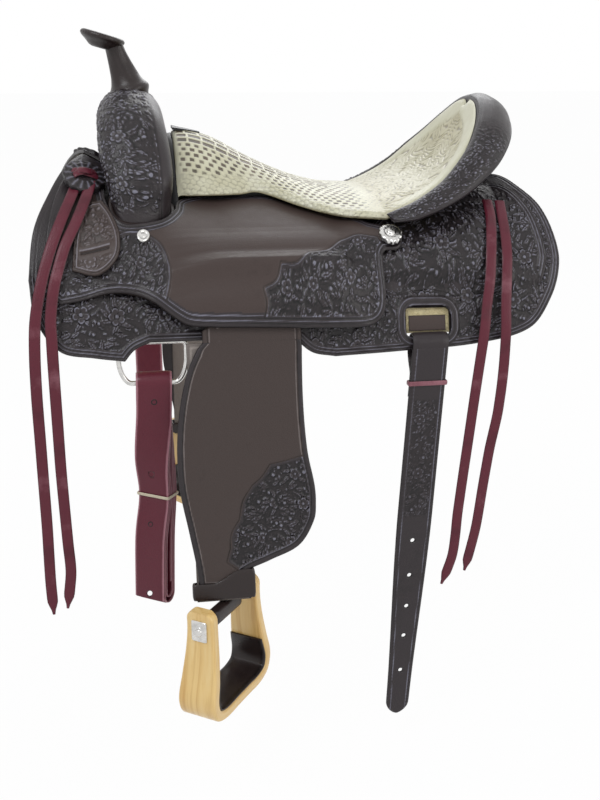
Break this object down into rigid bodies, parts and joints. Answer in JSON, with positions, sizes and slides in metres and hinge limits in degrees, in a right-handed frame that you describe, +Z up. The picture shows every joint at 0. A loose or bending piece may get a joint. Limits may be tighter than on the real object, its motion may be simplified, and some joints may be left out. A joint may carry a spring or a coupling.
{
  "type": "trail saddle",
  "caption": "Western trail saddle with horn, padded cantle seat, skirts, fenders and wooden stirrups.",
  "frame": {"origin": "on the plane of symmetry, 20 mm under the middle of the back's ridge line that the saddle sits on", "axes": "-X is the front of the saddle (horn end), +X the cantle end, -Y the near (left) side, +Z up"},
  "size_m": [0.6465, 0.7458, 0.8545],
  "materials": {
    "rawhide": "rawhide-covered wood",
    "tooled_leather": "dark, tooled, semi-gloss",
    "smooth_leather": "dark brown, smooth",
    "burgundy_leather": "burgundy, waxed",
    "print_leather": "cream, scale print",
    "cream_lace": "cream lace",
    "fleece": "woolly",
    "maple": "varnished",
    "nickel": "polished",
    "steel": "plain"
  },
  "bodies": {
    "saddle": {"cantle_back": "tooled_leather", "cantle_board": "rawhide", "cantle_roll": "tooled_leather", "ground_seat": "smooth_leather", "horn_cap": "tooled_leather", "horn_core": "steel", "horn_neck_cover": "tooled_leather", "near_bar": "rawhide", "near_concho": "nickel", "near_fleece": "fleece", "near_front_dee": "nickel", "near_front_rosette": "burgundy_leather", "near_front_string_aft": "burgundy_leather", "near_front_string_fore": "burgundy_leather", "near_latigo_keeper": "tooled_leather", "near_rear_jockey": "tooled_leather", "near_rear_rosette": "nickel", "near_rear_string_aft": "burgundy_leather", "near_rear_string_fore": "burgundy_leather", "near_seat_jockey": "smooth_leather", "near_skirt": "tooled_leather", "off_bar": "rawhide", "off_concho": "nickel", "off_fleece": "fleece", "off_front_dee": "nickel", "off_front_rosette": "burgundy_leather", "off_rear_jockey": "tooled_leather", "off_rear_rosette": "nickel", "off_seat_jockey": "smooth_leather", "off_skirt": "tooled_leather", "seat": "print_leather", "swell_cover": "tooled_leather", "tree_fork": "rawhide"},
    "near_leg_top": {"near_fender_top": "smooth_leather"},
    "near_leg": {"near_fender": "smooth_leather", "near_stirrup_leather": "smooth_leather", "near_hobble_strap": "smooth_leather"},
    "near_stirrup_hanger": {"near_leather_loop": "smooth_leather"},
    "near_stirrup_frame": {"near_stirrup": "maple", "near_stirrup_tread": "tooled_leather", "near_stirrup_bolt": "nickel"},
    "off_leg_top": {"off_fender_top": "smooth_leather"},
    "off_leg": {"off_fender": "smooth_leather", "off_stirrup_leather": "smooth_leather", "off_hobble_strap": "smooth_leather"},
    "off_stirrup_hanger": {"off_leather_loop": "smooth_leather"},
    "off_stirrup_frame": {"off_stirrup": "maple", "off_stirrup_tread": "tooled_leather", "off_stirrup_bolt": "nickel"},
    "near_latigo_hank": {"latigo": "burgundy_leather", "latigo_tie": "cream_lace"},
    "near_rear_strap": {"near_rear_billet": "tooled_leather", "near_billet_lace": "burgundy_leather"},
    "off_front_strap": {"off_billet": "burgundy_leather"}
  },
  "joints": [
    {"name": "near_fender_swing", "type": "hinge", "parent": "saddle", "child": "near_leg_top", "pos_m": [-0.078, -0.22776, -0.08425], "axis": [0, -0.9703, 0.2419], "range_deg": [-14, 10]},
    {"name": "near_fender_lift", "type": "hinge", "parent": "near_leg_top", "child": "near_leg", "pos_m": [-0.078, -0.23494, -0.0804], "axis": [-1, 0, 0], "range_deg": [0, 60]},
    {"name": "near_stirrup_turn", "type": "hinge", "parent": "near_leg", "child": "near_stirrup_hanger", "pos_m": [-0.116, -0.30324, -0.37977], "axis": [0, 0, 1], "range_deg": [-30, 30]},
    {"name": "near_stirrup_pivot", "type": "hinge", "parent": "near_stirrup_hanger", "child": "near_stirrup_frame", "pos_m": [-0.116, -0.30324, -0.39177], "axis": [-0.5736, -0.8192, 0], "range_deg": [-40, 40]},
    {"name": "off_fender_swing", "type": "hinge", "parent": "saddle", "child": "off_leg_top", "pos_m": [-0.078, 0.22776, -0.08425], "axis": [0, -0.9703, -0.2419], "range_deg": [-14, 10]},
    {"name": "off_fender_lift", "type": "hinge", "parent": "off_leg_top", "child": "off_leg", "pos_m": [-0.078, 0.23494, -0.0804], "axis": [1, 0, 0], "range_deg": [0, 60]},
    {"name": "off_stirrup_turn", "type": "hinge", "parent": "off_leg", "child": "off_stirrup_hanger", "pos_m": [-0.116, 0.30324, -0.37977], "axis": [0, 0, 1], "range_deg": [-30, 30]},
    {"name": "off_stirrup_pivot", "type": "hinge", "parent": "off_stirrup_hanger", "child": "off_stirrup_frame", "pos_m": [-0.116, 0.30324, -0.39177], "axis": [-0.5736, 0.8192, 0], "range_deg": [-40, 40]},
    {"name": "latigo_swing", "type": "hinge", "parent": "saddle", "child": "near_latigo_hank", "pos_m": [-0.187, -0.21679, -0.1308], "axis": [-1, 0, 0], "range_deg": [-10, 50]},
    {"name": "near_billet_swing", "type": "hinge", "parent": "saddle", "child": "near_rear_strap", "pos_m": [0.145, -0.22593, -0.09347], "axis": [-1, 0, 0], "range_deg": [0, 45]},
    {"name": "off_billet_swing", "type": "hinge", "parent": "saddle", "child": "off_front_strap", "pos_m": [-0.187, 0.21679, -0.1308], "axis": [1, 0, 0], "range_deg": [-10, 50]}
  ]
}
